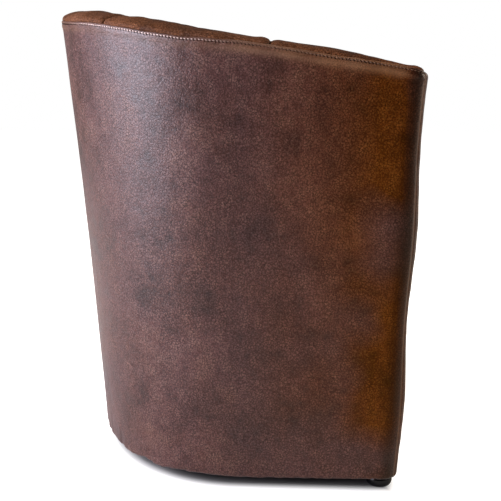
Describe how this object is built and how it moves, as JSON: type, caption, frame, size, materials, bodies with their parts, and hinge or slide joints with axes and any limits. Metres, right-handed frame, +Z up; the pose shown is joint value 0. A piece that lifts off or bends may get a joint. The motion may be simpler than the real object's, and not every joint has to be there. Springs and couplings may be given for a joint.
{
  "type": "tub chair",
  "caption": "Upholstered tub chair with a horseshoe shell, arms sloping up to the back, a padded crown over the rim and a fixed seat on low round feet.",
  "frame": {"origin": "on the floor, under the middle of the chair's overall box", "axes": "+Z up; the chair faces -Y, so +Y points to its back; +X across, to the sitter's left"},
  "size_m": [0.6528, 0.592, 0.755],
  "materials": {
    "outer_leather": "antique brown faux leather, waxed sheen with clouded patches",
    "lining_leather": "antique brown faux leather, waxed sheen with clouded patches",
    "seat_leather": "antique brown faux leather, waxed sheen with clouded patches",
    "pine": "planed softwood",
    "plywood": "bent plywood, unfinished",
    "hardboard": "pressed board, smooth side out",
    "foam": "cut polyurethane foam",
    "webbing": "woven elastic webbing",
    "black_cloth": "black non-woven base cloth",
    "black_plastic": "moulded glossy black plastic",
    "zinc": "bright zinc plated steel"
  },
  "bodies": {
    "root": {"outer_cover": "outer_leather", "arm_facing_left": "outer_leather", "arm_facing_right": "outer_leather", "front_cover": "outer_leather", "back_lining": "lining_leather", "flank_lining_left": "lining_leather", "flank_lining_right": "lining_leather", "arm_lining_left": "lining_leather", "arm_lining_right": "lining_leather", "seat_cover": "seat_leather", "seat_foam": "foam", "back_foam": "foam", "arm_foam_left": "foam", "arm_foam_right": "foam", "arm_front_foam_left": "foam", "arm_front_foam_right": "foam", "outer_board": "hardboard", "inner_board": "hardboard", "front_board": "plywood", "base_rail_front": "pine", "base_rail_left": "plywood", "base_rail_right": "plywood", "seat_rail_front": "pine", "seat_rail_left": "plywood", "seat_rail_right": "plywood", "top_rail_left": "plywood", "top_rail_right": "plywood", "arm_post_left": "pine", "arm_post_right": "pine", "back_upright_1": "pine", "back_upright_2": "pine", "back_upright_3": "pine", "back_upright_4": "pine", "foot_block_front_left": "pine", "foot_block_front_right": "pine", "foot_block_back_left": "pine", "foot_block_back_right": "pine", "foot_front_left": "black_plastic", "foot_front_right": "black_plastic", "foot_back_left": "black_plastic", "foot_back_right": "black_plastic", "foot_screw_front_left": "zinc", "foot_screw_front_right": "zinc", "foot_screw_back_left": "zinc", "foot_screw_back_right": "zinc", "seat_strap_long_1": "webbing", "seat_strap_long_2": "webbing", "seat_strap_long_3": "webbing", "seat_strap_cross_1": "webbing", "seat_strap_cross_2": "webbing", "seat_strap_cross_3": "webbing", "dust_cover": "black_cloth"}
  },
  "joints": []
}
